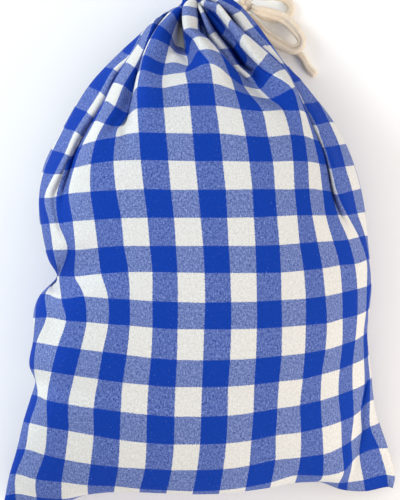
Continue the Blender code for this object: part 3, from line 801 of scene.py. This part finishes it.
def cotton_material(name):
    """Soft natural cotton: a fine grain of darker and lighter fibre, with its bump, and flecks of seed."""
    material = bpy.data.materials.new(name)
    material.use_nodes = True
    n = Nodes(material.node_tree)
    shader = material.node_tree.nodes["Principled BSDF"]
    place = n.add("ShaderNodeTexCoord").outputs["Object"]
    fine = n.noise(place, 1400.0, 3.0, 0.6)
    broad = n.noise(place, 160.0, 3.0, 0.5)
    colour = n.mix(n.remap(fine, 0.3, 0.7, 0.0, 1.0), COTTON_FIBRE_DARK, COTTON_FIBRE_LIGHT)
    colour = n.mix(n.remap(broad, 0.35, 0.7, 0.0, 0.5), colour, COTTON_SEED)
    n.join(colour, shader.inputs["Base Color"])
    bump = n.add("ShaderNodeBump")
    bump.inputs["Strength"].default_value = 0.5
    bump.inputs["Distance"].default_value = 0.0005
    n.join(fine, bump.inputs["Height"])
    n.join(bump.outputs["Normal"], shader.inputs["Normal"])
    n.join(n.remap(fine, 0.3, 0.7, 0.8, 0.95), shader.inputs["Roughness"])
    shader.inputs["Sheen Weight"].default_value = 0.25
    return material


def knot_point(angles, distance):
    """A point at a distance from the knot's centre, in a direction given by two angles in degrees."""
    turn, lift = (math.radians(angle) for angle in angles)
    way = Vector((math.cos(lift) * math.cos(turn), math.cos(lift) * math.sin(turn), math.sin(lift)))
    return Vector(KNOT_CENTRE) + way * distance


def picture_place(across, down, height):
    """The place in the part that is seen at a point of the picture, at a height above the surface."""
    nearer = (CAMERA_HEIGHT - height) / (CAMERA_HEIGHT - SEAM_LEVEL)
    x = (across - PICTURE_MIDDLE[0]) * PICTURE_MM_PER_PIXEL * nearer
    y = (PICTURE_MIDDLE[1] - down) * PICTURE_MM_PER_PIXEL * nearer
    return Vector((x, y, height))


def strand_route(strand):
    """All the points that a strand passes: a loop's run from the knot and back to it."""
    start = KNOT_RADIUS + CORD_GAP
    route = [picture_place(*point) for point in strand["route"]]
    if strand["leaves"]:
        route.insert(0, knot_point(strand["leaves"], start + CORD_DIAMETER / 2))
        route.insert(0, knot_point(strand["leaves"], start))
    if strand["returns"]:
        route.append(knot_point(strand["returns"], start + CORD_DIAMETER / 2))
        route.append(knot_point(strand["returns"], start))
    return [(point - Vector((CENTRE_X, CENTRE_Y, 0.0))) * MM for point in route]


def smooth_route(route, step):
    """Points at even steps along one smooth curve through the route's own points."""
    ends = [2 * route[0] - route[1]] + route + [2 * route[-1] - route[-2]]
    fine = []
    for k in range(1, len(ends) - 2):
        a, b, c, d = ends[k - 1:k + 3]
        for part in range(ROUTE_PARTS):
            t = part / ROUTE_PARTS
            fine.append(
                0.5 * (
                    2 * b
                    + (c - a) * t
                    + (2 * a - 5 * b + 4 * c - d) * t**2
                    + (3 * b - a - 3 * c + d) * t**3
                )
            )
    fine.append(route[-1])
    fine = np.array([tuple(point) for point in fine])
    along = np.concatenate([[0.0], np.cumsum(np.linalg.norm(np.diff(fine, axis=0), axis=1))])
    even = np.linspace(0.0, along[-1], round(along[-1] / step) + 1)
    points = [Vector([np.interp(length, along, fine[:, k]) for k in range(3)]) for length in even]
    return points, along[-1]


def tube_ring(angles, width, height, fold):
    """One cross-section of a soft flattened tube, with a fold along its top, in millimetres."""
    depth, place = fold
    aside = np.cos(angles)
    side = width / 2 * np.sign(aside) * np.abs(aside) ** 0.9
    up = height / 2 * np.sin(angles) + (height - CORD_DIAMETER) / 2
    top = np.clip(np.sin(angles), 0.0, 1.0)
    up = up - depth * top * np.exp(-(((aside - place) / 0.2) ** 2))
    return side, up


def make_tube(name, points, shapes, fold, material, closed=False):
    """A soft tube along a path, from a grid that is rolled round it and closed along its seam."""
    along = len(points) - 1
    mesh = bpy.data.meshes.new(name)
    tube = bmesh.new()
    bmesh.ops.create_grid(tube, x_segments=TUBE_SIDES, y_segments=along, size=1.0)
    tube_map = tube.loops.layers.uv.new("cord")
    length = sum((points[k + 1] - points[k]).length for k in range(along)) / MM
    for face in tube.faces:
        for loop in face.loops:
            place = loop.vert.co
            loop[tube_map].uv = ((place.x + 1.0) / 2.0, (place.y + 1.0) / 2.0 * length / CORD_MAP_LENGTH)
    angles = np.linspace(0.0, -2.0 * math.pi, TUBE_SIDES + 1)
    shares = np.linspace(0.0, 1.0, along + 1)
    knots = [shape[0] for shape in shapes]
    widths = np.interp(shares, knots, [shape[1] for shape in shapes])
    heights = np.interp(shares, knots, [shape[2] for shape in shapes])
    rings = []
    for k, point in enumerate(points):
        before = points[(k - 1) % along] if closed else points[max(k - 1, 0)]
        after = points[(k + 1) % along] if closed else points[min(k + 1, along)]
        way = (after - before).normalized()
        aside = way.cross(Vector((0.0, 0.0, 1.0))).normalized()
        up = aside.cross(way)
        side, rise = tube_ring(angles, widths[k], heights[k], fold)
        ring = []
        for i, angle in enumerate(angles):
            spot = Vector((math.cos(angle) * 1.6, math.sin(angle) * 1.6, k * 0.2))
            rough = 1.0 + TUBE_ROUGHNESS * noise.noise(spot)
            ring.append(point + (aside * side[i] + up * rise[i]) * MM * rough)
        rings.append(ring)
    for vertex in tube.verts:
        i = round((vertex.co.x + 1.0) / 2.0 * TUBE_SIDES)
        j = round((vertex.co.y + 1.0) / 2.0 * along)
        vertex.co = rings[j][i]
    bmesh.ops.remove_doubles(tube, verts=tube.verts[:], dist=0.00001)
    edges = [edge for edge in tube.edges if edge.is_boundary]
    if edges:
        bmesh.ops.holes_fill(tube, edges=edges, sides=0)
    bmesh.ops.recalc_face_normals(tube, faces=tube.faces[:])
    tube.to_mesh(mesh)
    tube.free()
    mesh.shade_smooth()
    mesh.materials.append(material)
    cord = bpy.data.objects.new(name, mesh)
    bpy.context.collection.objects.link(cord)
    return cord


def make_knot(material):
    """The knot: the cord's own round turn, as a trefoil that leans towards the neck."""
    lean = Euler(KNOT_LEAN).to_matrix()
    centre = Vector(KNOT_CENTRE) - Vector((CENTRE_X, CENTRE_Y, 0.0))
    points = []
    for t in np.linspace(0.0, 2.0 * math.pi, KNOT_STEPS + 1):
        x = KNOT_TURN * (math.sin(t) + 2.0 * math.sin(2.0 * t))
        y = KNOT_TURN * (math.cos(t) - 2.0 * math.cos(2.0 * t))
        z = -KNOT_RISE * math.sin(3.0 * t)
        points.append((centre + lean @ Vector((x, y, z))) * MM)
    points[-1] = points[0].copy()
    shapes = ((0.0, KNOT_TUBE, KNOT_TUBE), (1.0, KNOT_TUBE, KNOT_TUBE))
    return make_tube("knot_turns", points, shapes, (0.0, 0.0), material, closed=True)


def make_camera():
    camera = bpy.data.cameras.new("camera")
    camera.sensor_fit = "VERTICAL"
    camera.sensor_height = SENSOR
    camera.lens = SENSOR * (CAMERA_HEIGHT - SEAM_LEVEL) / (PICTURE_MM_PER_PIXEL * PICTURE_HEIGHT)
    viewer = bpy.data.objects.new("camera", camera)
    bpy.context.collection.objects.link(viewer)
    viewer.location = Vector((-CENTRE_X, -CENTRE_Y, CAMERA_HEIGHT)) * MM
    bpy.context.scene.camera = viewer


def make_light(name, place, size, power, colour):
    light = bpy.data.lights.new(name, "AREA")
    light.shape = "SQUARE"
    light.size = size
    light.energy = power
    light.color = colour
    lamp = bpy.data.objects.new(name, light)
    bpy.context.collection.objects.link(lamp)
    lamp.location = place
    lamp.rotation_euler = (LIGHT_AIM - Vector(place)).to_track_quat("-Z", "Y").to_euler()


def make_studio():
    world = bpy.data.worlds.new("studio")
    bpy.context.scene.world = world
    world.use_nodes = True
    sky = world.node_tree.nodes["Background"]
    sky.inputs["Color"].default_value = (1.0, 1.0, 1.0, 1.0)
    sky.inputs["Strength"].default_value = STUDIO_STRENGTH
    make_light(*WINDOW)
    make_light(*LAMP)
    mesh = bpy.data.meshes.new("floor")
    ground = bmesh.new()
    bmesh.ops.create_grid(ground, x_segments=1, y_segments=1, size=FLOOR_SIZE)
    ground.to_mesh(mesh)
    ground.free()
    floor = bpy.data.objects.new("floor", mesh)
    bpy.context.collection.objects.link(floor)
    material = bpy.data.materials.new("floor")
    material.use_nodes = True
    shader = material.node_tree.nodes["Principled BSDF"]
    shader.inputs["Base Color"].default_value = FLOOR_WHITE
    shader.inputs["Roughness"].default_value = 0.9
    mesh.materials.append(material)
    bpy.context.scene.view_settings.view_transform = "Standard"


def main():
    make_camera()
    make_studio()
    cotton = cotton_material("natural_cotton")
    for name, strand in STRANDS.items():
        points, length = smooth_route(strand_route(strand), TUBE_STEP * MM)
        cord = make_tube(name + "_soft", points, STRAND_SHAPES[name], STRAND_FOLDS[name], cotton)
        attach(cord, "root")
        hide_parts(name)
    knot = make_knot(cotton)
    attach(knot, "root")
    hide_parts("cord_knot")
    group = gingham_group()
    front, front_columns = front_points(FRONT_DIVISIONS)
    back, back_columns = back_points(BACK_DIVISIONS)
    press_under(back, front)
    for name, divisions, points, columns, side, slot in (
        ("front", FRONT_DIVISIONS, front, front_columns, 1, "front_cloth"),
        ("back", BACK_DIVISIONS, back, back_columns, -1, "back_cloth"),
    ):
        material = gingham_material(name + "_gingham", group)
        cloth = make_cloth(name + "_cloth", divisions, points, columns, side, material)
        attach(cloth, "root")
        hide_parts(name + "_panel")


main()
